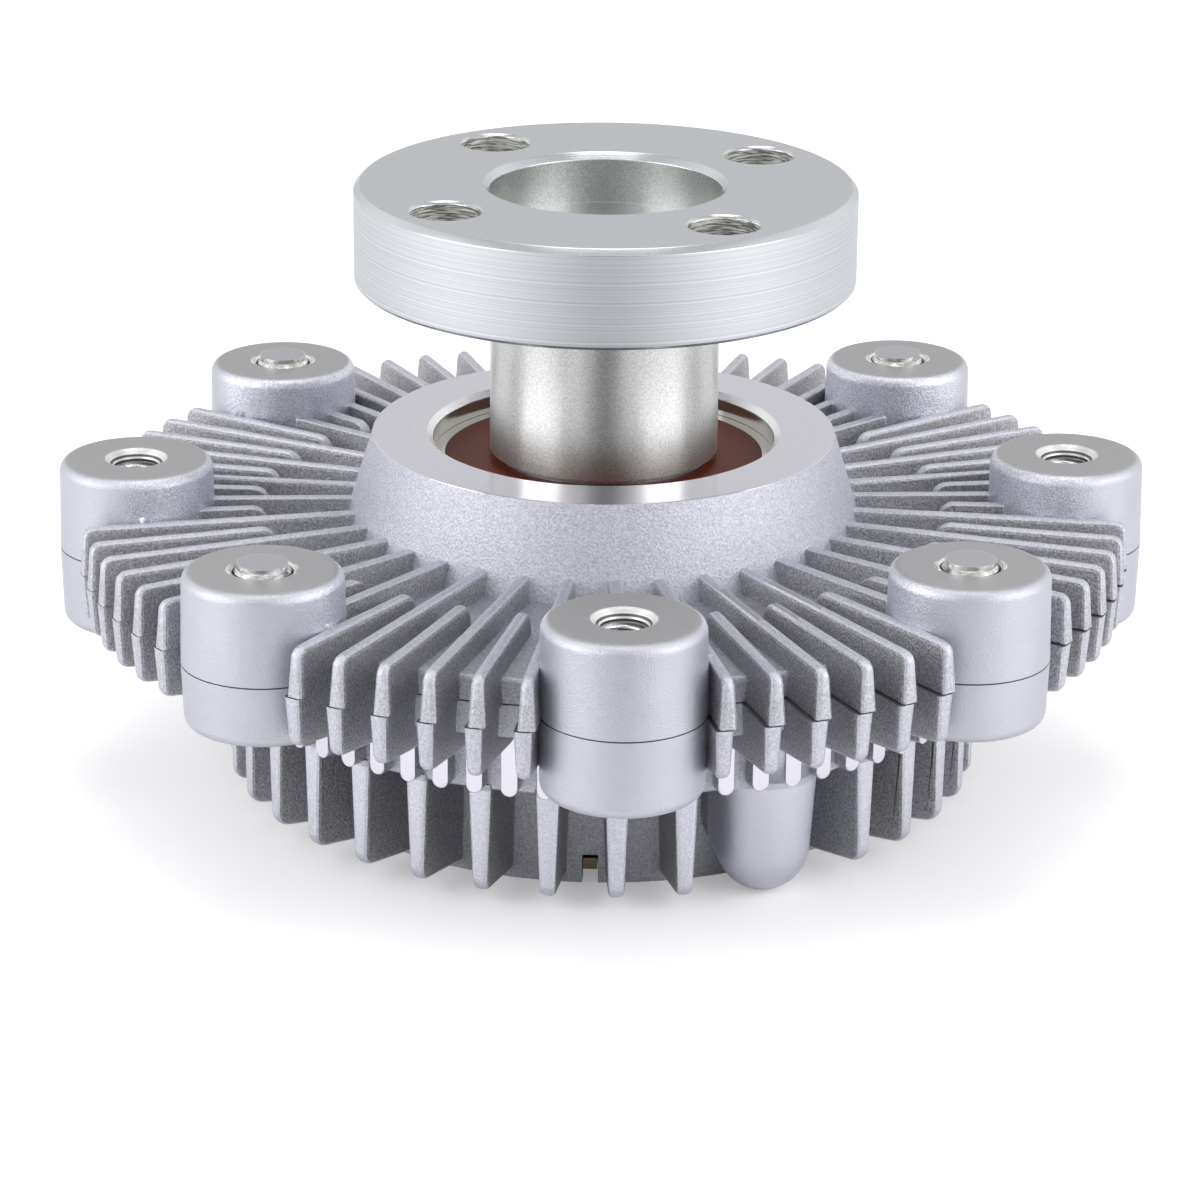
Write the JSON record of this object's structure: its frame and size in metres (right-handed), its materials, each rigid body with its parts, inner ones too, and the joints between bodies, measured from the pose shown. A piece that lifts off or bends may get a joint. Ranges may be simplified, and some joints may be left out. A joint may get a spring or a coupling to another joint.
{
  "type": "viscous fan clutch",
  "caption": "Finned viscous clutch that couples a cooling fan to a water pump flange and slips until a bimetal spring opens its valve.",
  "frame": {"origin": "centre of the mounting flange's pump face, on the axis of rotation", "axes": "+Z along the axis towards the pump, -Y through one tapped fan boss"},
  "size_m": [0.1604, 0.1604, 0.0908],
  "materials": {
    "turned_steel": "turned, bright zinc plate",
    "cast_body": "shot-blasted die casting",
    "cast_cover": "shot-blasted die casting",
    "bearing_steel": "ground",
    "cage_steel": "pressed sheet",
    "seal_rubber": "moulded, satin",
    "spring_steel": "oiled spring steel",
    "rotor_aluminium": "turned",
    "sheet_steel": "rolled sheet",
    "valve_steel": "turned",
    "black_rubber": "moulded",
    "bimetal": "rolled strip",
    "bolt_steel": "zinc plate"
  },
  "bodies": {
    "housing": {"rear_body": "cast_body", "front_cover": "cast_cover", "bearing_outer_race": "bearing_steel", "bearing_seal_rear": "seal_rubber", "bearing_seal_front": "seal_rubber", "bearing_retaining_ring": "spring_steel", "divider_plate": "sheet_steel", "valve_shaft_seal": "black_rubber", "cover_seal": "black_rubber", "bimetal_coil": "bimetal", "cover_bolt_1": "bolt_steel", "cover_bolt_2": "bolt_steel", "cover_bolt_3": "bolt_steel", "cover_bolt_4": "bolt_steel"},
    "hub": {"hub_shaft": "turned_steel", "bearing_inner_race": "bearing_steel", "rotor": "rotor_aluminium", "rotor_retaining_ring": "spring_steel"},
    "bearing_cage": {"bearing_cage": "cage_steel", "bearing_balls": "bearing_steel"},
    "valve": {"valve_shaft": "valve_steel", "valve_arm": "sheet_steel"}
  },
  "joints": [
    {"name": "hub_spin", "type": "hinge", "parent": "housing", "child": "hub", "pos_m": [0, 0, 0], "axis": [0, 0, 1], "continuous": true},
    {"name": "cage_spin", "type": "hinge", "parent": "housing", "child": "bearing_cage", "pos_m": [0, 0, -0.0484], "axis": [0, 0, 1], "continuous": true},
    {"name": "valve_turn", "type": "hinge", "parent": "housing", "child": "valve", "pos_m": [0, 0, -0.08], "axis": [0, 0, 1], "range_deg": [0, 45], "stiffness_Nm_per_rad": 0.03, "deforming": ["bimetal_coil"]}
  ],
  "couplings": [
    {"joint": "cage_spin", "follows": "hub_spin", "ratio": 0.39688}
  ]
}
